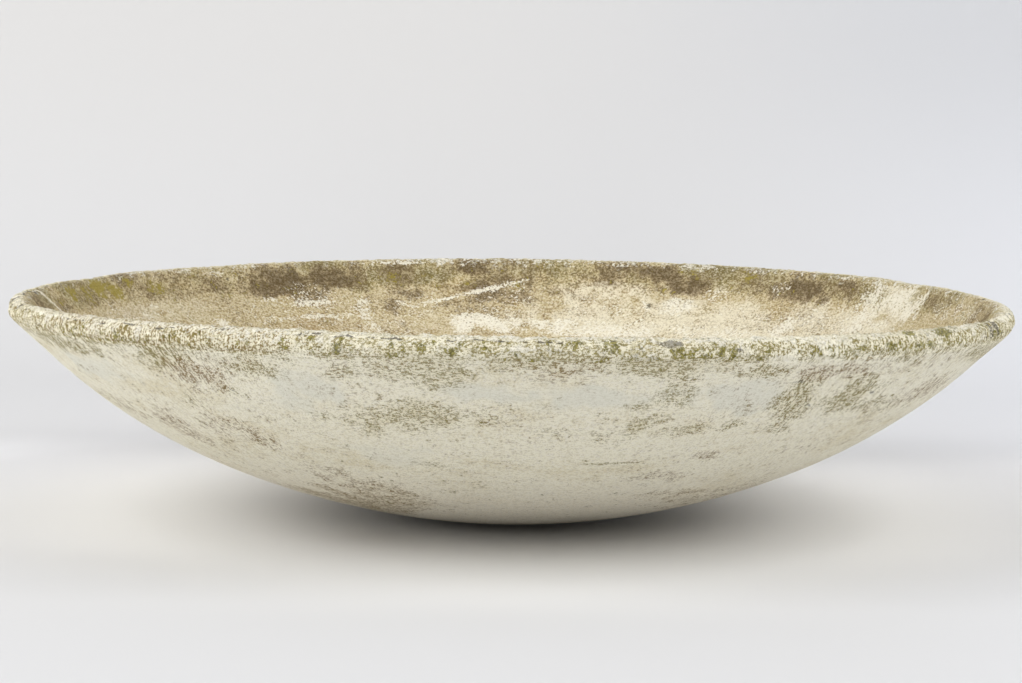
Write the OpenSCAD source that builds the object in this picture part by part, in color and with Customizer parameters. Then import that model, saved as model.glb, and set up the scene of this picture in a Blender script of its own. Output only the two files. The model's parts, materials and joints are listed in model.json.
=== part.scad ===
// Saucer planter: a wide, shallow bowl of hand-laid fibre cement, for the floor or the garden.
// The wall is two layers of felt pressed into a round mould. A strip of the same felt is
// turned over the trimmed edge and rolled, and a disc thickens the bottom round the drain hole.
// Millimetres. +Z is up, and the origin is the middle of the flat that the bowl stands on.

/* [Bowl] */
// Diameter over the rolled rim
outer_d = 950; // [600:10:1200]
// Height from the floor to the crest of the rim
height = 209; // [150:1:280]
// Diameter of the flat that the bowl stands on
base_d = 130; // [90:5:200]

/* [Wall] */
// Thickness of the outer felt layer
outer_t = 8; // [6:0.5:11]
// Thickness of the inner felt layer
inner_t = 8; // [5:0.5:11]

/* [Rim] */
// Thickness of the rim strip where it turns over the inner face
strip_t = 5; // [3:0.5:9]
// Thickness that the strip is feathered to at the end of its lap
strip_edge_t = 1; // [0.6:0.2:2]
// How far the strip laps down the inner face
lap_length = 45; // [25:1:70]
// How far the strip stands out past the wall at its lower edge
rim_lip = 2.5; // [1.5:0.5:5]
// Height of the straight face between that edge and the round crown
rim_flat = 2; // [1:0.5:5]

/* [Bottom] */
// Diameter of the drain hole
drain_d = 20; // [12:1:32]
// Diameter of the disc that thickens the bottom
patch_d = 240; // [170:5:320]
// Thickness of that disc
patch_t = 6; // [4:0.5:9]
// Width of the worn-down edge of that disc
patch_bevel = 10; // [4:1:16]

/* [Hidden] */
$fn = 240;
crown_steps = 28;
cut = 1; // how far a cutting solid runs past what it cuts

outer_r = outer_d / 2;
base_r = base_d / 2;
wall_t = outer_t + inner_t;

// Height of the centre of the sphere that passes through the edge of the flat, a circle of
// radius base_r at the floor, and through a circle of radius r at height z
function centre_height(r, z) = (r * r + z * z - base_r * base_r) / (2 * z);

// Steepness of the wall at the rim, from the outline before its crown is known
rim_slope = atan2(outer_r, centre_height(outer_r, height - wall_t) - (height - wall_t));
// The crown is one arc: upright on the outside, and parallel to the inner face, strip_t off it
crown_r = (wall_t + strip_t + rim_lip * sin(rim_slope) - rim_flat * cos(rim_slope))
    / (1 + sin(rim_slope));

trim_z = height - crown_r - rim_flat; // where both layers are trimmed level
wall_r = outer_r - rim_lip; // outside of the wall at that height
bowl_z = centre_height(wall_r, trim_z); // centre of every sphere below
face_r = norm([base_r, bowl_z]); // outer face
joint_r = face_r - outer_t; // between the two layers
inside_r = joint_r - inner_t; // inner face
edge_angle = asin(wall_r / face_r); // from straight down to the trimmed edge

// A point in the plane of a section, at an angle from straight down about the bowl's centre
function bowl_point(r, angle) = [r * sin(angle), bowl_z - r * cos(angle)];

function arc(centre, r, from, to, steps) =
    [for (i = [0:steps]) let (a = from + (to - from) * i / steps) centre + r * [cos(a), sin(a)]];

module bowl_sphere(r) {
    translate([0, 0, bowl_z]) sphere(r);
}

module drain_hole() {
    translate([0, 0, -cut]) cylinder(d = drain_d, h = height);
}

// Everything between the floor and the trimmed edge
module below_trim() {
    cylinder(r = outer_r, h = trim_z);
}

module outer_layer() {
    color("#cfc9b4") difference() {
        intersection() {
            bowl_sphere(face_r);
            below_trim();
        }
        bowl_sphere(joint_r);
        drain_hole();
    }
}

module inner_layer() {
    color("#c9b894") difference() {
        intersection() {
            bowl_sphere(joint_r);
            below_trim();
        }
        bowl_sphere(inside_r);
        drain_hole();
    }
}

// Outline of the rim with the part of the wall that it sits on
module rim_section() {
    crown = arc([outer_r - crown_r, height - crown_r], crown_r, 0, 90 + edge_angle, crown_steps);
    lap_angle = edge_angle - lap_length / inside_r * 180 / PI;
    mid_wall_r = face_r - wall_t / 2;
    polygon(concat(
        [[outer_r, trim_z]],
        crown,
        [
            bowl_point(inside_r - strip_edge_t, lap_angle),
            bowl_point(mid_wall_r, lap_angle),
            [sqrt(mid_wall_r * mid_wall_r - pow(bowl_z - trim_z, 2)), trim_z]
        ]));
}

module rim_roll() {
    color("#d8d4c6") difference() {
        rotate_extrude() rim_section();
        difference() {
            intersection() {
                bowl_sphere(face_r);
                below_trim();
            }
            bowl_sphere(inside_r);
        }
    }
}

module base_patch() {
    patch_top = bowl_z - inside_r + patch_t;
    patch_rise = bowl_z - sqrt(inside_r * inside_r - patch_d * patch_d / 4) + patch_t;
    color("#a3906b") difference() {
        intersection() {
            bowl_sphere(inside_r);
            cylinder(d1 = patch_d, d2 = patch_d - 2 * patch_bevel * patch_rise / patch_top,
                h = patch_rise);
        }
        bowl_sphere(inside_r - patch_t);
        drain_hole();
    }
}

outer_layer();
inner_layer();
rim_roll();
base_patch();
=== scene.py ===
# Looks of the saucer planter: hand-laid fibre cement that has stood outdoors for decades.
# Metres. Angles run anticlockwise from +X, seen from above, so 270 degrees faces the camera.
# Stains are placed by angle and by how far down the surface from the rim's crest they lie.
import json
import math
from types import SimpleNamespace

import bmesh
import bpy
import numpy as np
from mathutils import Matrix, Vector, noise

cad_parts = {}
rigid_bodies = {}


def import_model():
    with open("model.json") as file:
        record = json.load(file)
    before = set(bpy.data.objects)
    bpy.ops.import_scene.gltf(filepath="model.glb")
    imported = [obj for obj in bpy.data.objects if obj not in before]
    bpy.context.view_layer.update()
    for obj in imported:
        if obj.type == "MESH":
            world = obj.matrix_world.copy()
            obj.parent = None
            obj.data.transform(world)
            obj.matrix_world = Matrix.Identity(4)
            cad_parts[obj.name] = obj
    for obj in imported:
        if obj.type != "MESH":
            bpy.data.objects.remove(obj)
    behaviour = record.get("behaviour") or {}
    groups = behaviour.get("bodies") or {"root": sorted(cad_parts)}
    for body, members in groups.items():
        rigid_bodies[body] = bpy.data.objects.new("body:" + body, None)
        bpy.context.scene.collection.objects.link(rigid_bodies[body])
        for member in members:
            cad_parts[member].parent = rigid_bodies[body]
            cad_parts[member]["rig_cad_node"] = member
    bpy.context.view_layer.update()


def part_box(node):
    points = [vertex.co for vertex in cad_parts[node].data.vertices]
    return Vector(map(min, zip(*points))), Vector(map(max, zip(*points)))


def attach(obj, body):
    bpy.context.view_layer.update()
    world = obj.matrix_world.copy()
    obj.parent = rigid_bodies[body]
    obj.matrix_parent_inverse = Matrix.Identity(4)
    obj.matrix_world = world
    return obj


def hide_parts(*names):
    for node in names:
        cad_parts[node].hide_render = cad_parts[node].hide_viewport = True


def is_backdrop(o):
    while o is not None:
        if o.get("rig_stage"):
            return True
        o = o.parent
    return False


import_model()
print("frame loaded")

mm = 0.001


# Sizes that the CAD nodes give, and the foot's and the hole's radius as in the part

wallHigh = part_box("outer_layer")[1]
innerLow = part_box("inner_layer")[0]
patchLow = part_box("base_patch")[0]
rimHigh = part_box("rim_roll")[1]

footRadius = 65 * mm
holeRadius = 10 * mm
trimHeight = wallHigh.z
topHeight = rimHigh.z
bowlCentre = (wallHigh.x**2 + trimHeight**2 - footRadius**2) / (2 * trimHeight)
faceRadius = math.hypot(footRadius, bowlCentre)
jointRadius = math.hypot(holeRadius, bowlCentre - innerLow.z)
insideRadius = math.hypot(holeRadius, bowlCentre - patchLow.z)
jointTop = math.acos((bowlCentre - trimHeight) / jointRadius)  # angles from straight down
jointFoot = math.asin(holeRadius / jointRadius)


# Shader maths


class Signal:
    # a socket of a material, so that masks can be written as sums
    def __init__(self, paint, socket):
        self.paint = paint
        self.socket = socket

    def __add__(self, other):
        return self.paint.maths("ADD", self, other)

    def __sub__(self, other):
        return self.paint.maths("SUBTRACT", self, other)

    def __rsub__(self, other):
        return self.paint.maths("SUBTRACT", other, self)

    def __mul__(self, other):
        return self.paint.maths("MULTIPLY", self, other)

    __radd__ = __add__
    __rmul__ = __mul__


class Paint:
    # a material under construction
    def __init__(self, name):
        self.material = bpy.data.materials.new(name)
        self.material.use_nodes = True
        self.tree = self.material.node_tree
        self.tree.nodes.clear()

    def node(self, kind, settings=None, inputs=None, output=0):
        made = self.tree.nodes.new(kind)
        for key, value in (settings or {}).items():
            setattr(made, key, value)
        for key, value in (inputs or {}).items():
            if isinstance(value, Signal):
                self.tree.links.new(value.socket, made.inputs[key])
            else:
                made.inputs[key].default_value = value
        if output == "all":
            return [Signal(self, socket) for socket in made.outputs]
        return Signal(self, made.outputs[output]) if made.outputs else None

    def maths(self, operation, a, b=0.0):
        return self.node("ShaderNodeMath", {"operation": operation}, {0: a, 1: b})

    def smooth(self, value, low, high):
        return self.node(
            "ShaderNodeMapRange",
            {"interpolation_type": "SMOOTHSTEP"},
            {"Value": value, "From Min": low, "From Max": high},
        )

    def mix(self, amount, a, b, blend="MIX"):
        # sockets 6 and 7 take the node's two colours, and output 2 gives the mixed one
        return self.node(
            "ShaderNodeMix", {"data_type": "RGBA", "blend_type": blend}, {0: amount, 6: a, 7: b}, 2
        )

    def attribute(self, name):
        return self.node("ShaderNodeAttribute", {"attribute_name": name}, output="Fac")

    def noise(self, place, stretch, detail=3.0, rough=0.55, offset=0.0):
        # stretch is the size of the pattern along each axis, in metres
        scaled = self.node(
            "ShaderNodeVectorMath",
            {"operation": "MULTIPLY_ADD"},
            {0: place, 1: [1 / size for size in stretch], 2: (offset, offset, offset)},
        )
        inputs = {"Vector": scaled, "Scale": 1.0, "Detail": detail, "Roughness": rough}
        return self.node("ShaderNodeTexNoise", {}, inputs)

    def surface(self, shader):
        self.node("ShaderNodeOutputMaterial", {}, {"Surface": shader})
        return self.material


def tint(code):
    # sRGB hex to the linear colour that a socket takes
    values = [int(code[i : i + 2], 16) / 255 for i in (0, 2, 4)]
    return [v / 12.92 if v < 0.04045 else ((v + 0.055) / 1.055) ** 2.4 for v in values] + [1.0]


# Mesh helpers


def meshObject(name, bm, material):
    mesh = bpy.data.meshes.new(name)
    bm.to_mesh(mesh)
    bm.free()
    piece = bpy.data.objects.new(name, mesh)
    bpy.context.scene.collection.objects.link(piece)
    mesh.materials.append(material)
    mesh.shade_smooth()
    return piece


def spinSection(points, steps, sectors=20):
    # points go round the closed section: radius, height, way down from the crest, 1 if inside
    bm = bmesh.new()
    downLayer = bm.verts.layers.float.new("down")
    insideLayer = bm.verts.layers.float.new("inside")
    ring = []
    for radius, height, down, inside in points:
        vert = bm.verts.new((radius, 0, height))
        vert[downLayer] = down
        vert[insideLayer] = inside
        ring.append(vert)
    edges = [bm.edges.new(pair) for pair in zip(ring, ring[1:] + ring[:1])]
    turn = 2 * math.pi / sectors
    bmesh.ops.spin(
        bm, geom=ring + edges, cent=(0, 0, 0), axis=(0, 0, 1), angle=turn, steps=steps // sectors
    )
    sector = bm.verts[:] + bm.edges[:] + bm.faces[:]
    for i in range(1, sectors):  # one spin all the way round would take minutes
        copied = bmesh.ops.duplicate(bm, geom=sector)["geom"]
        moved = [item for item in copied if isinstance(item, bmesh.types.BMVert)]
        bmesh.ops.rotate(bm, cent=(0, 0, 0), matrix=Matrix.Rotation(turn * i, 3, "Z"), verts=moved)
    bmesh.ops.remove_doubles(bm, verts=bm.verts, dist=1e-6)
    bmesh.ops.recalc_face_normals(bm, faces=bm.faces)
    return bm


class Skin:
    # a mesh's points as arrays, for relief and stains
    def __init__(self, piece):
        self.mesh = piece.data
        count = len(self.mesh.vertices)
        self.place = np.empty(count * 3)
        self.mesh.vertices.foreach_get("co", self.place)
        self.place = self.place.reshape(-1, 3)
        self.normal = np.empty(count * 3)
        self.mesh.vertices.foreach_get("normal", self.normal)
        self.normal = self.normal.reshape(-1, 3)
        self.down = self.read("down")
        self.inside = self.read("inside")
        self.angle = np.degrees(np.arctan2(self.place[:, 1], self.place[:, 0])) % 360

    def read(self, name):
        values = np.empty(len(self.mesh.vertices))
        self.mesh.attributes[name].data.foreach_get("value", values)
        return values

    def write(self, name, values):
        layer = self.mesh.attributes.get(name) or self.mesh.attributes.new(name, "FLOAT", "POINT")
        layer.data.foreach_set("value", np.asarray(values, np.float32))

    def noise(self, size, seed, octaves=3, across=None, spoked=False):
        # from -1 to 1; across is the size down the wall where it differs, and a spoked
        # pattern runs straight down the wall
        shift = seed * 13.7  # keeps the patterns of different seeds apart
        points = self.place / size + shift
        if spoked:
            turn = np.radians(self.angle)
            points[:, 0] = np.cos(turn) * rimHigh.x / size
            points[:, 1] = np.sin(turn) * rimHigh.x / size + seed
        if across:
            points[:, 2] = self.down / across + self.inside * 31 + shift
        return np.array([noise.fractal(p, 1.0, 2.0, octaves) for p in points.tolist()])

    def push(self, amount):
        self.place += self.normal * amount[:, None]

    def finish(self):
        self.mesh.vertices.foreach_set("co", self.place.ravel())
        self.mesh.update()


def smoothStep(values, low, high):
    t = np.clip((values - low) / (high - low), 0, 1)
    return t * t * (3 - 2 * t)


def plateau(values, start, full, fullEnd, stop):
    # 1 from full to fullEnd, fading to 0 at start and at stop
    return smoothStep(values, start, full) * smoothStep(-values, -stop, -fullEnd)


def turnedBy(angle, at):
    return (angle - at + 180) % 360 - 180


# The bowl was never quite level: two sides of the rim stand higher than the others
sag = {"saddle": -2.7 * mm, "twist": 1.2 * mm, "lift": 0.5 * mm}


def warp(place):
    angle = np.arctan2(place[:, 1], place[:, 0])
    height = place[:, 2]
    wave = sag["saddle"] * np.cos(2 * angle) + sag["twist"] * np.sin(2 * angle)
    wave = wave + sag["lift"] * np.sin(3 * angle)
    place[:, 2] = height + wave * np.clip(height / topHeight, 0, 1) ** 2


# Stains: angle, millimetres down from the crest, half width in degrees, half height in
# millimetres, and strength. What the camera can't see is a guess of the same kinds.

outsideStains = {
    "olive": [
        (204, 20, 5, 8, 0.7),
        (212, 22, 5, 9, 0.85),
        (219, 25, 4, 9, 0.85),
        (206, 33, 5, 9, 0.6),
        (213, 42, 6, 12, 0.7),
        (226, 24, 4, 8, 0.55),
        (231, 32, 4, 24, 0.7),
        (228, 48, 3, 18, 0.6),
        (229, 105, 2.5, 16, 0.35),
        (237, 78, 2, 8, 0.5),
        (242, 46, 3.5, 15, 0.7),
        (247, 32, 1.6, 6, 0.6),
        (252, 24, 4.5, 9, 0.8),
        (251.5, 47, 2.4, 12, 0.5),
        (256, 44, 3, 18, 0.4),
        (262, 24, 4, 10, 0.85),
        (261, 46, 4.5, 22, 0.65),
        (265, 40, 2, 5, 0.6),
        (259.5, 94, 3.5, 26, 0.5),
        (253, 105, 5, 20, 0.4),
        (262, 98, 3, 24, 0.35),
        (257, 122, 9, 18, 0.3),
        (268, 100, 3, 16, 0.35),
        (246, 130, 7, 22, 0.2),
        (259, 186, 3, 12, 0.35),
        (274, 84, 1.6, 12, 0.35),
        (275, 128, 3, 9, 0.4),
        (280, 25, 4.5, 9, 0.6),
        (283, 36, 3, 9, 0.65),
        (286.5, 38, 3.5, 17, 0.65),
        (288.5, 72, 3, 26, 0.55),
        (284.5, 88, 2, 9, 0.55),
        (287, 106, 3, 16, 0.5),
        (289, 126, 5, 14, 0.35),
        (283, 130, 4, 22, 0.3),
        (284, 183, 4, 3, 0.9),
        (297, 40, 3.5, 11, 0.7),
        (294, 122, 5, 10, 0.35),
        (299, 118, 3, 8, 0.5),
        (304, 76, 3, 26, 0.75),
        (305.5, 106, 3.5, 22, 0.6),
        (306, 130, 2, 14, 0.4),
        (311.5, 84, 3.5, 22, 0.7),
        (315, 102, 6, 16, 0.5),
        (312, 60, 3, 14, 0.4),
        (318, 72, 3, 10, 0.4),
        (310, 19, 8, 6, 0.6),
        (325, 22, 8, 9, 0.6),
        (334, 32, 6, 16, 0.55),
        (342, 44, 7, 16, 0.6),
        (354, 46, 8, 16, 0.7),
        (322, 108, 6, 24, 0.35),
        (190, 48, 8, 16, 0.55),
        (205, 125, 4, 18, 0.4),
        (190, 165, 5, 12, 0.35),
        (20, 60, 14, 26, 0.6),
        (48, 45, 8, 20, 0.7),
        (75, 90, 10, 34, 0.55),
        (104, 52, 9, 22, 0.7),
        (128, 130, 8, 30, 0.45),
        (150, 48, 9, 22, 0.6),
        (172, 70, 8, 18, 0.6),
    ],
    "brown": [
        (233, 62, 5.5, 24, 0.65),
        (231, 142, 5, 28, 0.4),
        (219, 155, 5, 30, 0.5),
        (208, 142, 6, 24, 0.35),
        (235, 168, 4, 24, 0.35),
        (275, 36, 5.5, 22, 0.45),
        (270, 104, 8, 24, 0.2),
        (298.5, 174, 3.4, 12, 0.5),
        (294, 216, 7, 16, 0.4),
        (307, 43, 6, 13, 0.6),
        (331, 88, 9, 26, 0.5),
        (245, 252, 9, 20, 0.4),
        (240, 214, 7, 24, 0.3),
        (88, 70, 9, 30, 0.5),
        (140, 90, 9, 34, 0.5),
        (10, 120, 12, 30, 0.45),
        (55, 160, 12, 34, 0.4),
    ],
    "ochre": [
        (244, 290, 12, 60, 0.6),
        (230, 330, 14, 60, 0.7),
        (300, 270, 7, 20, 0.4),
        (320, 300, 20, 50, 0.4),
        (60, 300, 26, 60, 0.6),
        (130, 320, 28, 50, 0.6),
    ],
    "pale": [
        (247.5, 68, 5, 26, 0.9),
        (245, 92, 6, 18, 0.5),
        (213, 70, 9, 24, 0.75),
        (254, 174, 8, 28, 0.5),
        (266, 68, 5, 15, 0.7),
        (278, 74, 9, 24, 0.8),
        (295.5, 74, 7, 28, 1.0),
        (235, 108, 4, 12, 0.4),
        (272, 152, 6, 20, 0.25),
        (342, 76, 9, 22, 0.5),
        (62, 90, 10, 30, 0.8),
        (115, 90, 11, 34, 0.8),
        (165, 100, 11, 34, 0.6),
    ],
    "moss": [
        (316.5, 5, 1.4, 7, 1.0),
        (323, 6, 2.2, 7, 1.0),
        (333, 6, 2.5, 6, 0.5),
        (276, 10, 1.6, 7, 0.9),
        (279.5, 12, 2.2, 7, 0.75),
        (273.7, 8, 0.9, 5, 0.8),
        (257, 7, 1.2, 5, 0.5),
        (263, 18, 3.5, 5, 0.6),
        (252, 19, 4, 5, 0.55),
        (231, 19, 4, 6, 0.5),
        (312, 17, 9, 5, 0.6),
        (354, 34, 7, 14, 0.6),
        (30, 12, 5, 8, 0.8),
        (77, 14, 7, 9, 0.8),
        (101, 12, 4, 7, 0.7),
        (139, 14, 8, 9, 0.8),
        (163, 10, 4, 8, 0.7),
    ],
    "lime": [
        (271, 15, 2.2, 3.5, 1.0),
        (246, 14, 12, 3, 0.5),
        (262, 12, 6, 3, 0.5),
    ],
    "dark": [
        (302.5, 56, 1.0, 3, 0.6),
        (306.8, 92, 0.5, 2.4, 0.9),
        (316.4, 79, 0.7, 2.4, 0.9),
        (286, 9, 1.4, 4, 0.8),
        (239.5, 6, 1.6, 5, 0.7),
        (237, 81, 0.4, 2, 0.8),
        (294, 15, 1.2, 3, 0.5),
    ],
}

insideStains = {
    "olive": [
        (163, 26, 13, 18, 0.62),
        (142, 24, 12, 18, 0.52),
        (118, 26, 9, 17, 0.9),
        (106, 26, 8, 18, 1.0),
        (95, 20, 7, 15, 0.75),
        (87, 18, 6, 13, 0.75),
        (78, 18, 8, 14, 0.65),
        (70, 20, 6, 15, 0.6),
        (55, 18, 5, 14, 0.5),
        (44, 12, 6, 9, 0.5),
        (181, 18, 6, 14, 0.6),
        (112, 34, 2.4, 12, 0.8),
        (134, 88, 3, 10, 0.3),
        (60, 60, 3, 14, 0.25),
    ],
    "brown": [
        (123.5, 28, 6, 24, 0.95),
        (128, 38, 4, 12, 0.6),
        (115, 24, 6, 20, 0.85),
        (120, 52, 5, 12, 0.6),
        (95, 16, 4, 16, 0.9),
        (90, 32, 5, 14, 0.7),
        (96, 42, 5, 13, 0.6),
        (76, 16, 3, 12, 0.8),
        (69, 18, 5, 14, 0.95),
        (64, 32, 5, 17, 0.85),
        (46, 22, 7, 17, 0.85),
        (48, 38, 5, 12, 0.7),
        (39, 24, 3, 14, 0.5),
        (20, 22, 4, 16, 0.5),
        (13, 28, 11, 20, 0.15),
        (105, 48, 5, 14, 0.7),
        (107, 60, 3, 14, 0.7),
        (91, 54, 6, 15, 0.7),
        (98, 64, 4, 12, 0.55),
        (111, 66, 4, 16, 0.4),
        (84, 46, 4, 10, 0.5),
        (160, 28, 4, 12, 0.35),
        (100, 84, 12, 20, 0.2),
    ],
    "ochre": [
        (147.5, 57, 1.0, 4, 0.9),
        (160, 20, 11, 16, 0.6),
        (140, 24, 8, 14, 0.45),
        (169, 13, 1.0, 4, 0.8),
        (96, 9, 1.2, 4, 0.8),
        (120, 80, 14, 24, 0.35),
        (141, 24, 2, 6, 0.5),
    ],
    "pale": [
        (78, 42, 8, 12, 0.5),
        (60, 84, 32, 40, 1.1),
        (35, 64, 16, 34, 0.9),
        (77, 42, 5, 12, 0.7),
        (100, 98, 26, 22, 0.4),
        (148, 56, 18, 26, 0.45),
    ],
    "moss": [
        (157.5, 18, 1.8, 16, 1.0),
        (154, 25, 1.8, 15, 1.0),
        (150.5, 14, 1.8, 11, 0.85),
        (165, 18, 2.2, 13, 0.85),
        (161, 24, 1.4, 13, 0.7),
        (170, 24, 1.6, 10, 0.45),
        (145, 22, 2.2, 13, 0.6),
        (138, 12, 3, 7, 0.4),
        (107, 28, 7, 14, 0.4),
        (66, 14, 3, 8, 0.4),
        (56, 16, 2.2, 8, 0.55),
        (86, 12, 3, 7, 0.4),
    ],
    "lime": [
        (137.4, 77, 1.6, 8, 1.0),
        (148, 46, 0.9, 4, 0.8),
        (112.4, 84, 1.6, 28, 0.75),
        (96, 88, 3.8, 16, 1.0),
        (92, 95, 4, 11, 0.9),
        (85, 92, 5, 6, 0.8),
        (76, 96, 12, 14, 0.55),
        (74, 72, 2, 15, 0.5),
        (65, 60, 3.4, 13, 0.75),
        (60, 42, 2, 14, 0.6),
        (55, 98, 12, 14, 0.55),
        (45, 80, 2.2, 16, 0.75),
        (40, 70, 8, 22, 0.4),
        (33.5, 36, 2.4, 30, 0.85),
        (28, 26, 3.6, 26, 1.0),
        (23.2, 30, 1.4, 18, 0.9),
        (30, 60, 8, 20, 0.5),
        (106, 8, 4.5, 2.4, 0.9),
        (133, 14, 0.9, 5, 0.8),
        (184, 30, 5, 6, 0.4),
        (119, 58, 8, 4.5, 0.9),
        (120, 78, 8, 5, 0.85),
        (125, 50, 5, 3, 0.7),
        (50, 26, 1.6, 14, 0.4),
        (9, 26, 9, 16, 0.5),
        (82, 104, 20, 10, 0.5),
        (152, 62, 10, 12, 0.3),
        (182, 36, 8, 8, 0.4),
    ],
    "dark": [
        (69.5, 62, 0.5, 5, 0.8),
        (177.5, 7, 1.2, 3, 0.9),
        (182, 18, 1.6, 2, 0.7),
        (180, 24, 1.4, 2, 0.6),
        (132, 20, 0.5, 3, 0.8),
        (14.6, 13, 0.6, 4, 0.7),
        (35, 56, 0.7, 5, 0.5),
    ],
}

# Stains that go all the way round: from and to in millimetres down, strength, how uneven
outsideBands = {
    "olive": [(0, 9, 0.1, 1.0), (9, 30, 0.6, 0.8), (18, 44, 0.27, 1.1), (30, 150, 0.07, 1.4)],
    "brown": [(18, 60, 0.12, 1.2), (60, 260, 0.09, 1.3)],
    "moss": [(15, 25, 0.3, 1.3)],
    # the pale band from 250 to 560 mm down is painted light on the down-facing belly
    "pale": [(250, 560, 0.25, 0.3)],
    "lime": [(0, 9, 0.3, 1.2)],
}
insideBands = {
    "olive": [(2, 41, 0.5, 0.8), (38, 120, 0.15, 1.0), (200, 500, 0.3, 0.9)],
    "brown": [(4, 46, 0.38, 0.9), (46, 130, 0.22, 0.9), (190, 560, 0.5, 0.55)],
    "ochre": [(60, 520, 0.25, 0.8)],
    "lime": [(48, 120, 0.16, 0.5), (126, 140, 0.4, 1.6), (180, 206, 0.3, 2.2), (252, 282, 0.26, 2.4)],
}

# White lines of lime: points as angle and millimetres down, then half width in millimetres
limeLines = {
    "hook": ([(107, 58), (105, 67), (101, 59), (97, 50), (93, 42), (88, 31)], 1.3),
    "crack": ([(22.5, 12), (22.4, 22), (21.8, 34), (21.4, 46)], 1.6),
    "tipCrack": ([(176, 3), (174.5, 12), (173.6, 22), (172.6, 36)], 1.5),
    "scrape": ([(70.5, 56), (69.5, 66)], 1.2),
}


# Where the top of the felt has flaked off inside: angles, millimetres down, and depth
flakes = [
    (70.6, 79, 31, 47, 0.5 * mm),
    (24.5, 34, 10, 46, 0.6 * mm),
    (58.5, 61, 28, 38, 0.4 * mm),
]


def raggedEdge(skin):
    # stains and flakes share this, so that they break off along the same edges
    return skin.noise(26 * mm, 3, 4)


def flakeAmount(skin, flake, ragged):
    # its first side breaks off sharply, the others more softly
    start, stop, top, low, _ = flake
    middle, half = (start + stop) / 2, (stop - start) / 2
    side = turnedBy(skin.angle, middle) + 0.4 * ragged
    down = skin.down / mm + 3 * ragged
    wide = plateau(side, -half - 0.25, -half + 0.25, half - 1, half + 1)
    return wide * plateau(down, top - 1.5, top + 1.5, low - 2, low + 2)


def stainAmount(skin, spots, ragged):
    # a spot is at full strength out to a fifth of its size, and gone at 1.45 times it
    amount = np.zeros(len(skin.down))
    for at, down, wide, tall, strength in spots:
        far = np.hypot(turnedBy(skin.angle, at) / wide, (skin.down / mm - down) / tall)
        spot = strength * smoothStep(-(far + 0.55 * ragged), -1.45, -0.2)
        amount = amount + spot - amount * spot
    return amount


def bandAmount(skin, bands, uneven):
    amount = np.zeros(len(skin.down))
    for start, stop, strength, vary in bands:
        soft = 0.2 * (stop - start)
        down = skin.down / mm + uneven * soft
        inBand = plateau(down, start - soft, start + soft, stop - soft, stop + soft)
        amount = np.maximum(amount, strength * inBand * (1 + vary * uneven))
    return np.clip(amount, 0, 1)


def lineAmount(skin, points, width, ragged):
    # about 1 on the line, and fading out some three widths away
    reach = np.full(len(skin.down), 9.0)
    radius = np.hypot(skin.place[:, 0], skin.place[:, 1])
    for (a0, d0), (a1, d1) in zip(points, points[1:]):
        x = np.radians(turnedBy(skin.angle, a0)) * radius / mm
        y = skin.down / mm - d0
        dx = np.radians(turnedBy(a1, a0)) * radius / mm
        dy = d1 - d0
        share = np.clip((x * dx + y * dy) / (dx * dx + dy * dy), 0, 1)
        reach = np.minimum(reach, np.hypot(x - share * dx, y - share * dy) / (3 * width))
    return np.clip(1.1 - reach - 0.4 * ragged, 0, 1)


def stainSkin(skin):
    ragged = raggedEdge(skin)
    streaky = skin.noise(18 * mm, 5, 4, across=60 * mm)
    edges = 0.7 * ragged + 0.7 * streaky
    isInside = skin.inside > 0.5
    for seed, kind in enumerate(outsideStains):
        uneven = skin.noise(60 * mm, 50 + seed, 3) * 1.6
        outside = stainAmount(skin, outsideStains[kind], edges)
        outside = np.maximum(outside, bandAmount(skin, outsideBands.get(kind, []), uneven))
        inside = stainAmount(skin, insideStains[kind], edges)
        inside = np.maximum(inside, bandAmount(skin, insideBands.get(kind, []), uneven))
        amount = np.where(isInside, inside, outside)
        if kind == "pale":
            for flake in flakes:
                amount = np.maximum(amount, flakeAmount(skin, flake, ragged) * isInside * 0.9)
        if kind == "lime":
            for points, width in limeLines.values():
                amount = np.maximum(amount, lineAmount(skin, points, width, ragged) * isInside)
        skin.write(kind, amount)


# The felt's material, shared by the wall, the rim and the bottom

# size of each pattern along its three axes
grainSize = {
    "cloud": (90 * mm, 90 * mm, 60 * mm),
    "patchy": (17 * mm, 17 * mm, 20 * mm),
    "dash": (4.5 * mm, 4.5 * mm, 1.6 * mm),
    "thread": (1.4 * mm, 1.4 * mm, 8 * mm),
    "strand": (3.0 * mm, 3.0 * mm, 5.0 * mm),
    "crumb": (2.0 * mm, 2.0 * mm, 1.8 * mm),
    "granule": (2.4 * mm, 2.4 * mm, 2.1 * mm),
    "speck": (2.6 * mm, 2.6 * mm, 2.2 * mm),
    "grit": (5.5 * mm, 5.5 * mm, 5.5 * mm),
    "hole": (3.2 * mm, 3.2 * mm, 2.2 * mm),
}
threadRadius = 0.4  # distance from the bowl's axis at which a thread has that size

feltColours = {
    "outside": "f7f2dd",
    "outsideWarm": "e9e0c2",
    "outsidePale": "f6f2e6",
    # painted light: a paler colour for the down-facing belly of the outside wall
    "belly": "fdf5e2",
    "inside": "c3b38a",
    "insideWarm": "a99269",
    "insidePale": "efe8d2",
    "smooth": "e9e7d8",
    "underCrust": "b0a57a",
    "grimeOutside": "c4b995",
    "grimeInside": "8a7549",
    # painted shade for the pits of the felt's relief
    "tooth": "aca48c",
    "toothInside": "b5a27c",
    "ochre": "cbb684",
    "ochreDark": "957c44",
    "brown": "b8a27c",
    "brownGrain": "8a7146",
    "brownDark": "584930",
    "olive": "bfb078",
    "oliveGrain": "83752f",
    "oliveDark": "6a5f33",
    "moss": "9c9345",
    "mossDark": "565220",
    "mossInside": "ab9a48",
    "lime": "f2eddc",
    "hole": "6c6848",
    "crust": "f2eddd",
    "lichen": "bab7a8",
    # dark marks, and the painted shade in the rim's fissure and creases
    "dark": "5c574e",
}
colour = {name: tint(code) for name, code in feltColours.items()}


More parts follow.
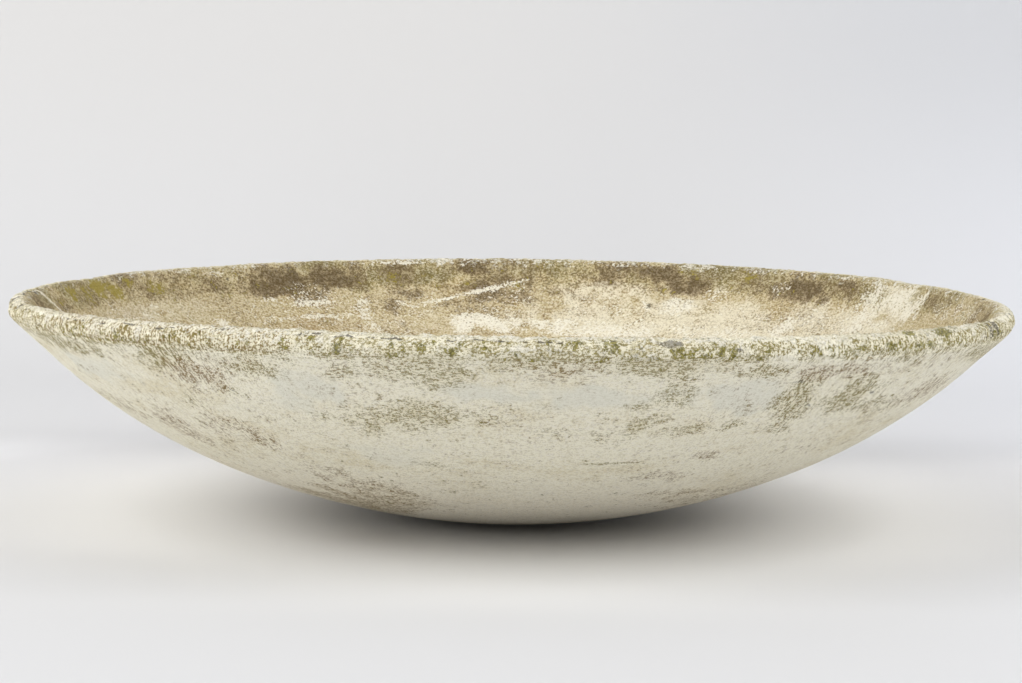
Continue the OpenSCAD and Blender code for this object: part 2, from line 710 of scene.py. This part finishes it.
def feltMaterial(name):
    paint = Paint(name)
    place = paint.node("ShaderNodeTexCoord", output="Object")
    x, y, _ = paint.node("ShaderNodeSeparateXYZ", {}, {"Vector": place}, "all")
    inside = paint.attribute("inside")
    outside = 1.0 - inside
    down = paint.attribute("down") * (1.0 - inside * 2.0)  # past the crest it counts the other way

    # two ways to lay a pattern on the wall: level rows, and threads that run straight down it
    rows = paint.node("ShaderNodeCombineXYZ", {}, {"X": x, "Y": y, "Z": down})
    flat = paint.node("ShaderNodeCombineXYZ", {}, {"X": x, "Y": y})
    heading = paint.node("ShaderNodeVectorMath", {"operation": "NORMALIZE"}, {0: flat})
    hx, hy, _ = paint.node("ShaderNodeSeparateXYZ", {}, {"Vector": heading}, "all")
    threads = paint.node(
        "ShaderNodeCombineXYZ", {}, {"X": hx * threadRadius, "Y": hy * threadRadius, "Z": down}
    )

    cloud = paint.noise(rows, grainSize["cloud"], 3, 0.6) - 0.5
    patchy = paint.noise(rows, grainSize["patchy"], 6, 0.72, 3.1) - 0.5
    dash = paint.noise(rows, grainSize["dash"], 2, 0.7, 6.1) - 0.5
    thread = paint.noise(threads, grainSize["thread"], 2, 0.6, 2.3) - 0.5
    strand = paint.noise(threads, grainSize["strand"], 2, 0.7, 7.7) - 0.5
    crumb = paint.noise(place, grainSize["crumb"], 2, 0.8, 5.9) - 0.5
    granule = paint.noise(place, grainSize["granule"], 2, 0.8, 8.8) - 0.5
    speck = paint.noise(place, grainSize["speck"], 2, 0.7, 1.3) - 0.5
    grit = paint.noise(place, grainSize["grit"], 3, 0.7, 9.2) - 0.5

    # grain that dirt holds to, and chalk that shows through it
    beside = paint.smooth(paint.maths("ABSOLUTE", hx), 0.15, 0.7)  # towards the bowl's two sides
    strokes = thread * beside + dash * (1.0 - beside * 0.6)
    grain = (crumb + strokes) * outside + (granule * 1.35 + strand * 0.4) * inside
    grain = grain + grit * 0.4
    chalk = speck * 1.2 + strand * 0.2 + grit * 0.5

    def stain(base, kind, wash, deepOutside, deepInside):
        # a soft wash of colour, with grains of it that crowd together where it is strong
        amount = paint.attribute(kind) + patchy * 1.2 + grit * 0.6 + strand * 0.3
        amount = amount + granule * inside * 0.5
        deep = paint.mix(inside, colour[deepOutside], colour[deepInside])
        base = paint.mix(paint.smooth(amount, 0.08, 0.9) * (0.3 + inside * 0.4), base, colour[wash])
        base = paint.mix(paint.smooth(amount, 0.28, 0.95) * (0.04 + inside * 0.74), base, deep)
        grains = paint.smooth(grain * 3.4 + amount * 0.4, 0.2, 0.44) * paint.smooth(amount, 0.08, 0.6)
        return paint.mix(grains * ((0.64 + beside * 0.2) * outside + inside * 0.31), base, deep)

    # the felt itself: warmer in places, and smooth where its skin is whole
    smoothMask = paint.smooth(paint.attribute("pale") + patchy * 0.9, 0.15, 0.8)
    rough = 1.0 - smoothMask * 0.55

    base = paint.mix(inside, colour["outside"], colour["inside"])
    warm = paint.mix(inside, colour["outsideWarm"], colour["insideWarm"])
    pale = paint.mix(inside, colour["outsidePale"], colour["insidePale"])
    base = paint.mix(paint.smooth(cloud + patchy * 0.8 + grit * 0.3, -0.05, 0.25), base, warm)
    smoothShade = paint.mix(inside, colour["smooth"], colour["insidePale"])
    base = paint.mix(smoothMask * (0.9 - inside * 0.2), base, smoothShade)
    # painted light: the lower outside wall faces down and is painted paler, standing in for light that
    # does not reach it
    belly = paint.smooth(down, 0.18, 0.34) * outside
    base = paint.mix(belly * 0.9, base, colour["belly"])

    # grime under everything, then the stains
    crustZone = paint.attribute("crust")
    base = paint.mix(paint.smooth(crustZone + grain * 0.8, 0.15, 0.7) * 0.6, base, colour["underCrust"])

    grime = paint.mix(inside, colour["grimeOutside"], colour["grimeInside"])
    soiled = paint.smooth(grain * 3.0 - patchy * 0.8, 0.0, 0.4)
    # the belly's painted light also thins the grime there
    base = paint.mix(soiled * (0.2 + inside * 0.2) * rough * (1.0 - belly * 0.5), base, grime)
    flecks = paint.smooth(chalk * 3.2 + patchy * 0.8, 0.05, 0.4) * rough
    base = paint.mix(flecks * (0.5 - inside * 0.12), base, pale)

    base = stain(base, "ochre", "ochre", "ochreDark", "ochreDark")
    base = stain(base, "olive", "olive", "oliveGrain", "oliveDark")
    base = stain(base, "brown", "brown", "brownGrain", "brownDark")

    # flecks of lime on top of the stains, and lime that lies thick
    clean = 1.0 - paint.smooth(paint.attribute("brown") + patchy, 0.25, 0.8) * inside * 0.75
    specks = paint.smooth(chalk * 2.0 + patchy * 0.8, 0.14, 0.5) * rough * clean
    base = paint.mix(specks * (0.2 + inside * 0.15), base, pale)
    limed = paint.attribute("lime")
    lime = paint.smooth(limed * 0.75 + patchy * 1.1 + chalk * 2.2, 0.36, 0.58)
    lime = lime * paint.smooth(limed, 0.02, 0.25)
    base = paint.mix(lime * (0.85 + inside * 0.1), base, colour["lime"])

    # painted shade in the pits of the felt's relief, and painted light on its points
    reliefForShading = (granule + grit * 0.5) * inside + (crumb + strokes * 0.5 + grit * 0.3) * outside
    tooth = paint.mix(inside, colour["tooth"], colour["toothInside"])
    pitShade = paint.smooth(reliefForShading, 0.0, 0.08) * (0.18 + inside * 0.06) * (1.0 - smoothMask * 0.5)
    base = paint.mix(pitShade, base, tooth, "MULTIPLY")
    base = paint.mix(paint.smooth(0.0 - reliefForShading, 0.0, 0.1) * clean * (0.2 + inside * 0.1), base, pale)

    # lichen: a white crust, grey where it has died back, with dark holes through it
    crustField = crustZone * 0.46 + grit * 1.8 + dash * 1.2 + speck * 1.8 + patchy * 2.2
    crust = paint.smooth(crustField, 0.24, 0.48) * paint.smooth(crustZone, 0.05, 0.4)
    greyed = paint.smooth(patchy + crumb, 0.06, 0.24)
    crustShade = paint.mix(greyed, colour["crust"], colour["lichen"])
    base = paint.mix(crust * 0.88, base, crustShade)

    mossField = paint.attribute("moss") * 0.75 + patchy * 2.0 + crumb * 1.0 + grit * 1.7
    moss = paint.smooth(mossField, 0.38, 0.66)
    tufts = paint.smooth(crumb + speck, -0.1, 0.14)
    mossShade = paint.mix(tufts, colour["mossDark"], colour["moss"])
    mossShade = paint.mix(inside * 0.7, mossShade, colour["mossInside"])
    base = paint.mix(moss * 0.85, base, mossShade)

    holes = paint.noise(place, grainSize["hole"], 2, 0.6, 4.4) - 0.5
    holeMask = paint.smooth(crustZone * 0.12 - holes - patchy * 0.4, 0.16, 0.25)
    base = paint.mix(holeMask * crustZone * 0.66, base, colour["hole"])

    dark = paint.smooth(paint.attribute("dark") + patchy * 0.6 + grain * 0.8, 0.35, 0.7)
    base = paint.mix(dark * 0.65, base, colour["dark"])
    # painted shade in the rim's fissure and in the creases across its tips
    gap = paint.smooth(paint.attribute("gap") + crumb * 1.2 + dash * 0.8, 0.35, 0.7)
    base = paint.mix(gap * 0.8, base, colour["dark"])

    height = (
        crumb * 1.1
        + dash * 0.6 * outside
        + grit * (0.4 + inside * 1.2)
        + flecks * 0.4
        + lime * 0.6
        + moss * 0.8
        + crust * 1.4
        - holeMask * 1.2
        - gap * 1.5
    )
    bump = paint.node("ShaderNodeBump", {}, {"Strength": 0.55, "Distance": 1.0 * mm, "Height": height})
    shader = paint.node(
        "ShaderNodeBsdfPrincipled",
        {},
        {
            "Base Color": base,
            "Roughness": 0.94 - smoothMask * outside * 0.14,
            "Normal": bump,
            "Specular IOR Level": 0.25,
        },
    )
    return paint.surface(shader)


# Outer wall

outerWall = {
    "steps": 720,
    "rows": 116,
    "footRows": 8,
    "foldHeight": 190.7 * mm,  # where the wall meets the rolled strip
    "fullness": 5.8 * mm,  # how far it sags out of a true sphere, most at half its height
    "fullTo": 166 * mm,
    "lip": 0.3 * mm,  # how far it turns out again under the strip
    "lipFrom": 178 * mm,
    "lipRise": 11 * mm,
    "tuckStart": (1.5 * mm, 1 * mm),  # its hidden edge: first in and up behind the fold
    "tuckDepth": 7 * mm,  # then this far in under the strip
    "undulation": 0.7 * mm,
    "undulationSize": 120 * mm,
    "trowel": 0.16 * mm,  # level marks of the trowel
    "trowelSize": (50 * mm, 7 * mm),
    "followsRim": (4 * mm, 60 * mm),  # in full to the first below the fold, not at all past the second
}
beadRadius = 10.8 * mm
beadCentre = (wallHigh.x - 11.3 * mm, topHeight - beadRadius)
beadStart = -45  # degrees from level where the bead comes out of the wall
foldDown = beadRadius * math.radians(90 - beadStart)  # from the crest to the fold, over the bead
outOfSight = 0.4  # stands for the way down on faces that nobody sees

# how far down lichen grows, in millimetres: in full to the first, and not past the second
crustReach = {"outside": (14, 27), "inside": (7, 17)}


def onSphere(radius, bowlAngle):
    # a point of the section, at an angle from straight down about the bowl's centre
    return radius * math.sin(bowlAngle), bowlCentre - radius * math.cos(bowlAngle)


def jointFace(start, stop, steps, inside):
    # the face between the two layers
    angles = [start + (stop - start) * i / steps for i in range(steps + 1)]
    return [(*onSphere(jointRadius, bowlAngle), outOfSight, inside) for bowlAngle in angles]


def fullness(height):
    s = outerWall
    t = min(max((height - s["lipFrom"]) / s["lipRise"], 0), 1)
    lip = s["lip"] * t * t * (3 - 2 * t)
    return s["fullness"] * math.sin(math.pi * min(height / s["fullTo"], 1)) + lip


def rimWave(skin):
    # unevenness that the strip and the wall under it share, so that no gap opens between them
    return skin.noise(rim["undulationSize"], 31, 3) * rim["undulation"]


def crustZone(skin):
    # lichen grows on the strip, and in a ragged fringe on the faces below it
    ragged = skin.noise(9 * mm, 34, 4)
    streaky = skin.noise(16 * mm, 36, 3)
    down = skin.down / mm + 4 * ragged + 5 * streaky
    outside, inside = (smoothStep(-down, -gone, -full) for full, gone in crustReach.values())
    return np.where(skin.inside > 0.5, inside, outside)


def buildOuterWall(material):
    s = outerWall
    outline = []
    foot = math.asin(footRadius / faceRadius)
    top = math.acos((bowlCentre - s["foldHeight"]) / faceRadius)
    for i in range(s["rows"] + 1):
        bowlAngle = top + (foot - top) * i / s["rows"]
        radius, height = onSphere(faceRadius, bowlAngle)
        down = foldDown + (top - bowlAngle) * faceRadius
        outline.append((radius + fullness(height), max(height, 0), down, 0))
    lastDown = outline[-1][2]
    for i in range(1, s["footRows"] + 1):
        radius = footRadius + (holeRadius - footRadius) * i / s["footRows"]
        outline.append((radius, 0, lastDown + footRadius - radius, 0))
    hidden = jointFace(jointFoot, jointTop, 6, 0)
    edge = outline[0][0]
    tuckIn, tuckUp = s["tuckStart"]
    hidden.append((edge - s["tuckDepth"], trimHeight, foldDown, 0))
    hidden.append((edge - tuckIn, s["foldHeight"] + tuckUp, foldDown, 0))
    piece = meshObject("outerWall", spinSection(outline + hidden, s["steps"]), material)
    skin = Skin(piece)
    broad = skin.noise(s["undulationSize"], 11, 2) * s["undulation"]
    markLength, markHeight = s["trowelSize"]
    lines = skin.noise(markLength, 12, 3, across=markHeight) * s["trowel"]
    aboveFloor = smoothStep(skin.place[:, 2], 1 * mm, 30 * mm)
    whole, gone = s["followsRim"]
    nearRim = smoothStep(-skin.down, -foldDown - gone, -foldDown - whole)
    relief = (broad + lines) * (1 - nearRim) + rimWave(skin) * nearRim
    facesOut = skin.normal[:, 2] < 0.2
    skin.push(relief * aboveFloor * facesOut)
    stainSkin(skin)
    skin.write("crust", crustZone(skin) * 0.8)
    warp(skin.place)
    skin.finish()
    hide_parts("outer_layer")


# Inner wall

innerWall = {
    "steps": 960,
    "fineRows": 52,  # in the band that shows over the front rim
    "fineBand": 115 * mm,
    "rows": 40,
    "undulation": 0.6 * mm,
    "undulationSize": 90 * mm,
    "grit": 0.15 * mm,
    "gritSize": 7 * mm,
}
lapEnd = math.radians(41.4)  # where the strip's lap ends, from straight down
insideTop = math.acos((bowlCentre - trimHeight) / insideRadius)
turnEnd = 90 + math.degrees(insideTop)  # where the bead runs into the lap
turnAngle = math.atan2(
    beadCentre[0] + beadRadius * math.cos(math.radians(turnEnd)),
    bowlCentre - beadCentre[1] - beadRadius * math.sin(math.radians(turnEnd)),
)
lapStart = beadRadius * insideTop  # from the crest to the start and the end of the lap
lapDown = lapStart + (turnAngle - lapEnd) * insideRadius


def insideWave(skin):
    return skin.noise(innerWall["undulationSize"], 21, 2) * innerWall["undulation"]


def buildInnerWall(material):
    s = innerWall
    hole = math.asin(holeRadius / insideRadius)
    fine = s["fineBand"] / insideRadius
    angles = [hole + (insideTop - fine - hole) * i / s["rows"] for i in range(s["rows"])]
    angles += [insideTop - fine + fine * i / s["fineRows"] for i in range(s["fineRows"] + 1)]
    outline = []
    for bowlAngle in angles:
        down = lapDown + (lapEnd - bowlAngle) * insideRadius
        outline.append((*onSphere(insideRadius, bowlAngle), down, 1))
    hidden = jointFace(jointTop, jointFoot, 5, 1)
    piece = meshObject("innerWall", spinSection(outline + hidden, s["steps"]), material)
    skin = Skin(piece)
    facesUp = skin.normal[:, 2] > 0.2
    grit = skin.noise(s["gritSize"], 22, 3) * s["grit"]
    worn = raggedEdge(skin)
    for flake in flakes:
        grit -= flakeAmount(skin, flake, worn) * flake[-1]
    skin.push((insideWave(skin) + grit) * facesUp)
    stainSkin(skin)
    warp(skin.place)
    skin.finish()
    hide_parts("inner_layer")


# Rolled rim

rim = {
    "steps": 1440,
    "beadRows": 42,
    "lapRows": 14,
    "lapEdge": -0.4 * mm,  # the lap ends this far under the inner face, worn down into it
    "sunk": 1 * mm,  # how far its hidden face lies in the wall
    "tuckDepth": 6 * mm,
    "undulation": 0.8 * mm,
    "undulationSize": 60 * mm,
    "lumps": (0.7 * mm, 0.45 * mm),  # coarse and fine
    "lumpSizes": (9 * mm, 4 * mm),
    "fissure": 1.5 * mm,
    "fissureAngle": 50,  # degrees up from level on the outside
    "fissureFrom": 204,  # the fissure shows between these two angles
    "fissureTo": 277,
    "crust": 0.9 * mm,
    "plateSize": 30 * mm,  # plates of crust, and clusters of moss between them
    "clusterSize": 19 * mm,
    "crease": 1.4 * mm,  # folds across the bead at its two sides
    "foldSize": (23 * mm, 90 * mm),
    "onBead": (-44, -15, 100, 128),  # degrees round the bead from level: its rough part
    "crest": (52, 74, 98, 116),  # and its white crest
}


def rimSection():
    # the bead, the lap down the inside, and the hidden face that lies in the wall
    s = rim
    points = []
    start = beadStart - 6
    for i in range(s["beadRows"] + 1):
        around = math.radians(start + (turnEnd - start) * i / s["beadRows"])
        radius = beadCentre[0] + beadRadius * math.cos(around)
        height = beadCentre[1] + beadRadius * math.sin(around)
        down = abs(around - math.pi / 2) * beadRadius
        points.append((radius, height, down, 1 if around > math.pi / 2 else 0))
    startGap = insideRadius - math.hypot(points[-1][0], bowlCentre - points[-1][1])
    for i in range(1, s["lapRows"] + 1):
        t = i / s["lapRows"]
        bowlAngle = turnAngle + (lapEnd - turnAngle) * t
        sphere = insideRadius - (startGap + (s["lapEdge"] - startGap) * t)
        down = lapStart + (turnAngle - bowlAngle) * insideRadius
        points.append((*onSphere(sphere, bowlAngle), down, 1))
    for i in range(4):
        bowlAngle = lapEnd + (insideTop - lapEnd) * i / 3
        points.append((*onSphere(insideRadius + s["sunk"], bowlAngle), lapDown, 1))
    points.append((points[0][0] - s["tuckDepth"], trimHeight, foldDown, 0))
    return points


def rimMasks(skin, around, wave):
    # where the strip is lumpy, split, folded, crusted and grown over
    s = rim
    coarseSize, fineSize = s["lumpSizes"]
    lump = skin.noise(coarseSize, 32, 3)
    fine = skin.noise(fineSize, 33, 2)
    ragged = skin.noise(8 * mm, 37, 3)
    zone = crustZone(skin)
    onBead = plateau(around, *s["onBead"])
    turn = np.radians(skin.angle)
    back = smoothStep(np.sin(turn), 0.0, 0.6)
    left = smoothStep(-np.cos(turn), 0.08, 0.5)
    tip = smoothStep(np.abs(np.cos(turn)), 0.82, 0.94)

    middle = (s["fissureFrom"] + s["fissureTo"]) / 2
    reach = (s["fissureTo"] - s["fissureFrom"]) / 2
    front = smoothStep(-np.abs(turnedBy(skin.angle, middle)), -reach - 8, -reach)
    broken = smoothStep(skin.noise(14 * mm, 35, 3) + 0.6 * fine, -0.05, 0.35)
    wanders = s["fissureAngle"] + wave / mm * 14 + 10 * ragged
    # the fissure is cut into the bead, and the same mask paints shade into it
    gap = np.exp(-(((around - wanders) / 5) ** 2)) * broken * (0.15 + 0.85 * front) * onBead
    foldWidth, foldLength = s["foldSize"]
    folds = skin.noise(foldWidth, 38, 3, across=foldLength, spoked=True)
    crease = smoothStep(-np.abs(folds), -0.24, -0.06) * tip * onBead

    thick = smoothStep(lump + 0.6 * fine, -0.35, 0.3)
    crest = plateau(around, *s["crest"]) * front
    plates = smoothStep(skin.noise(s["plateSize"], 39, 3), -0.25, 0.2)
    clusters = smoothStep(skin.noise(s["clusterSize"], 40, 4) + 0.08 * front, -0.06, 0.22)
    clusters = clusters * smoothStep(-around, -60, -36)
    crust = zone * (0.35 + 0.65 * thick) * (0.5 + 0.5 * plates) * (1 - 0.2 * back)
    crust = np.maximum(crust, crest * (0.75 + 0.25 * thick)) * (1 - 0.75 * clusters) * (1 - gap)
    pits = smoothStep(-(lump + 0.8 * fine), 0.0, 0.6) * zone
    return SimpleNamespace(
        onBead=onBead,
        lump=lump,
        fine=fine,
        gap=gap,
        crease=crease,
        thick=thick,
        rough=1 - 0.4 * back - 0.5 * tip,
        crust=crust * (1 - 0.35 * tip - 0.3 * left * (1 - tip)),
        brown=left * (1 - back) * (0.42 - 0.2 * tip),
        moss=clusters * (0.5 - 0.18 * back) * (1 - 0.5 * tip) * (0.65 + 0.35 * front),
        olive=np.maximum(pits * 0.66, clusters * zone * 0.85),
    )


def buildRim(material):
    s = rim
    piece = meshObject("rolledRim", spinSection(rimSection(), s["steps"]), material)
    skin = Skin(piece)
    radius = np.hypot(skin.place[:, 0], skin.place[:, 1])
    around = np.degrees(np.arctan2(skin.place[:, 2] - beadCentre[1], radius - beadCentre[0]))
    onLap = (skin.down > lapStart) & (skin.inside > 0.5)

    # the lap follows the wall that it lies on, flakes included
    wave = rimWave(skin)
    fromRim = smoothStep(skin.down * skin.inside, lapStart, lapDown)
    skin.push((insideWave(skin) - wave) * fromRim)
    worn = raggedEdge(skin)
    for flake in flakes:
        skin.push(-flakeAmount(skin, flake, worn) * flake[-1] * onLap)

    on = rimMasks(skin, around, wave)
    coarse, small = s["lumps"]
    skin.push(-on.crease * s["crease"])
    skin.push(wave + (on.lump * coarse + on.fine * small) * on.onBead * on.rough)
    crusted = on.thick * on.onBead * on.rough * s["crust"] * (0.5 + 0.6 * on.fine)
    skin.push(crusted - on.gap * s["fissure"])

    stainSkin(skin)
    skin.write("crust", on.crust)
    # the fissure and the creases are written out for the painted shade in them
    skin.write("gap", np.maximum(on.gap, on.crease * 0.75))
    for kind in ("brown", "olive", "moss"):
        skin.write(kind, np.maximum(skin.read(kind), getattr(on, kind)))
    skin.write("inside", np.where(onLap, 1, smoothStep(around, 70, 125)))
    warp(skin.place)
    skin.finish()
    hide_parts("rim_roll")


# Disc in the bottom

bottomDisc = {
    "steps": 240,
    "radius": 108 * mm,
    "thick": 6 * mm,
    "wear": 9 * mm,  # how wide its edge is rounded
    "sunk": 1 * mm,  # how far its hidden face lies in the wall
    "lumps": 0.5 * mm,
    "lumpSize": 30 * mm,
    "middleDown": 0.55,  # way down from the crest to the bowl's middle
}


def heightOnSphere(sphere, radius):
    return bowlCentre - math.sqrt(sphere**2 - radius**2)


def buildBottomDisc(material):
    s = bottomDisc
    outline = []
    for i in range(25):
        radius = holeRadius + (s["radius"] - s["wear"] - holeRadius) * i / 24
        outline.append((radius, heightOnSphere(insideRadius - s["thick"], radius)))
    for i in range(1, 7):
        turn = math.radians(90 - 15 * i)
        radius = s["radius"] - s["wear"] + s["wear"] * math.cos(turn)
        lift = s["thick"] * math.sin(turn)
        outline.append((radius, heightOnSphere(insideRadius, radius) + lift))
    for i in range(5):
        radius = s["radius"] + (holeRadius - s["radius"]) * i / 4
        outline.append((radius, heightOnSphere(insideRadius + s["sunk"], radius)))
    points = [(radius, height, s["middleDown"] - radius, 1) for radius, height in outline]
    piece = meshObject("bottomDisc", spinSection(points, s["steps"]), material)
    skin = Skin(piece)
    facesUp = skin.normal[:, 2] > 0.2
    skin.push(skin.noise(s["lumpSize"], 41, 4) * s["lumps"] * facesUp)
    stainSkin(skin)
    skin.finish()
    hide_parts("base_patch")


felt = feltMaterial("weatheredFelt")
buildOuterWall(felt)
print("outer wall built")
buildInnerWall(felt)
print("inner wall built")
buildRim(felt)
print("rim built")
buildBottomDisc(felt)
print("bottom disc built")


# Studio

studio = {
    "floorNear": -7.0,
    "wallAt": 1.1,
    "bend": 1.0,  # radius between floor and wall
    "bendSteps": 16,
    "wallTop": 4.5,
    "width": 12.0,
    "floorColour": "d8d8d9",
    # painted light: the floor's colour beside and behind the bowl, where its cast shadow falls
    "besideColour": "f5f5f7",  # beside and behind the bowl
    # painted light: a lighter, cooler floor towards the right
    "coolColour": "e3e5eb",  # of the floor towards the right
    "wallColour": "d7d6d5",
    "shadeColour": "cdced1",  # towards the right
    "room": 0.08,  # strength of the light from all round
    "pastPaper": 0.72,  # brightness that the camera sees past the paper
}
lamps = {  # place, size in metres, watts
    "frontHigh": ((0, -3.6, 3.2), (7.0, 2.0), 38),
    "frontMiddle": ((0, -4.6, 2.0), (6.0, 1.6), 30),
    "frontLow": ((0, -4.8, 0.3), (7.0, 0.5), 10),
    "leftHigh": ((-3.6, -1.2, 3.4), (3.0, 3.0), 80),
    "leftMiddle": ((-4.2, -1.6, 2.2), (3.6, 3.0), 122),
    "rightHigh": ((3.6, -1.2, 3.4), (3.0, 3.0), 115),
    "rightMiddle": ((4.2, -1.6, 2.2), (3.6, 3.0), 50),
}


def paperMaterial():
    s = studio
    paint = Paint("studioPaper")
    place = paint.node("ShaderNodeTexCoord", output="Object")
    x, y, z = paint.node("ShaderNodeSeparateXYZ", {}, {"Vector": place}, "all")
    # painted light: the floor is lightest to both sides of the bowl and behind it, where the bowl's
    # cast shadow falls
    beside = paint.smooth(paint.maths("ABSOLUTE", x), 0.12, 0.42)
    far = paint.smooth(y, -0.48, -0.2) * 0.5 + paint.smooth(y, -0.1, 0.35) * 0.5
    far = far * (1.0 - paint.smooth(y, 0.35, 0.6) * 0.9)
    floor = paint.mix(beside * far, tint(s["floorColour"]), tint(s["besideColour"]))
    # painted light on the floor towards the right
    rightPaintedLight = paint.smooth(x, 0.2, 1.0) * (1.0 - beside * far)
    floor = paint.mix(rightPaintedLight, floor, tint(s["coolColour"]))
    cloud = paint.noise(place, (0.5, 0.5, 0.5), 3, 0.5)
    shade = paint.smooth(x + cloud * 0.2, -0.1, 0.9)
    wall = paint.mix(shade, tint(s["wallColour"]), tint(s["shadeColour"]))
    tone = paint.mix(paint.smooth(z, 0.0, 0.5), floor, wall)
    paper = paint.node("ShaderNodeBsdfPrincipled", {}, {"Base Color": tone, "Roughness": 0.95})
    # from behind and from below the paper doesn't hide the bowl
    fromBehind = paint.node("ShaderNodeNewGeometry", output="Backfacing")
    nothing = paint.node("ShaderNodeBsdfTransparent")
    return paint.surface(paint.node("ShaderNodeMixShader", {}, {0: fromBehind, 1: paper, 2: nothing}))


def buildPaper():
    s = studio
    bm = bmesh.new()
    outline = [(s["floorNear"], 0.0)]
    for i in range(s["bendSteps"] + 1):
        turn = math.radians(90 * i / s["bendSteps"])
        outline.append((s["wallAt"] + s["bend"] * math.sin(turn), s["bend"] * (1 - math.cos(turn))))
    outline.append((s["wallAt"] + s["bend"], s["wallTop"]))
    line = [bm.verts.new((-s["width"] / 2, y, z)) for y, z in outline]
    edges = [bm.edges.new(pair) for pair in zip(line, line[1:])]
    swept = bmesh.ops.extrude_edge_only(bm, edges=edges)["geom"]
    moved = [item for item in swept if isinstance(item, bmesh.types.BMVert)]
    bmesh.ops.translate(bm, vec=(s["width"], 0, 0), verts=moved)
    bmesh.ops.recalc_face_normals(bm, faces=bm.faces)
    lowest = min(bm.faces, key=lambda face: face.calc_center_median().z)
    if lowest.normal.z < 0:
        bmesh.ops.reverse_faces(bm, faces=bm.faces)
    meshObject("backdrop", bm, paperMaterial())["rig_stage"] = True


def areaLight(name, place, size, power):
    data = bpy.data.lights.new(name, "AREA")
    data.shape = "RECTANGLE"
    data.size, data.size_y = size
    data.energy = power
    lamp = bpy.data.objects.new(name, data)
    lamp.location = place
    lamp.rotation_euler = (Vector((0, 0, 0.1)) - Vector(place)).to_track_quat("-Z", "Y").to_euler()
    bpy.context.scene.collection.objects.link(lamp)
    lamp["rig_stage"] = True


camera = {
    "place": (0, -3.0875, 0.4566),
    "pitch": -5.401,  # degrees above the horizon
    "roll": 0.728,
    "lens": 115.04,  # focal length and sensor width in millimetres
    "sensor": 36,
}


def buildRoom():
    # faint light from all round, which the camera sees as a pale grey past the paper
    world = bpy.data.worlds.new("softRoom")
    world.use_nodes = True
    nodes = world.node_tree.nodes
    background = nodes["Background"]
    background.inputs["Color"].default_value = (1, 1, 1, 1)
    lightPath = nodes.new("ShaderNodeLightPath")
    strength = nodes.new("ShaderNodeMapRange")
    strength.inputs["To Min"].default_value = studio["room"]
    strength.inputs["To Max"].default_value = studio["pastPaper"]
    world.node_tree.links.new(lightPath.outputs["Is Camera Ray"], strength.inputs["Value"])
    world.node_tree.links.new(strength.outputs["Result"], background.inputs["Strength"])
    bpy.context.scene.world = world


def placeCamera():
    viewer = bpy.data.objects.new("camera", bpy.data.cameras.new("camera"))
    viewer.data.lens = camera["lens"]
    viewer.data.sensor_width = camera["sensor"]
    viewer.data.clip_end = 50
    tilt = Matrix.Rotation(math.radians(90 + camera["pitch"]), 4, "X")
    roll = Matrix.Rotation(math.radians(camera["roll"]), 4, "Z")
    viewer.matrix_world = Matrix.Translation(camera["place"]) @ tilt @ roll
    bpy.context.scene.collection.objects.link(viewer)
    bpy.context.scene.camera = viewer


buildPaper()
for name, (place, size, power) in lamps.items():
    areaLight(name, place, size, power)
buildRoom()
placeCamera()
bpy.context.scene.view_settings.view_transform = "Standard"
print("studio built")

for piece in list(bpy.context.scene.objects):
    if piece.type == "MESH" and "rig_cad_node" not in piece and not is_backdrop(piece):
        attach(piece, "root")
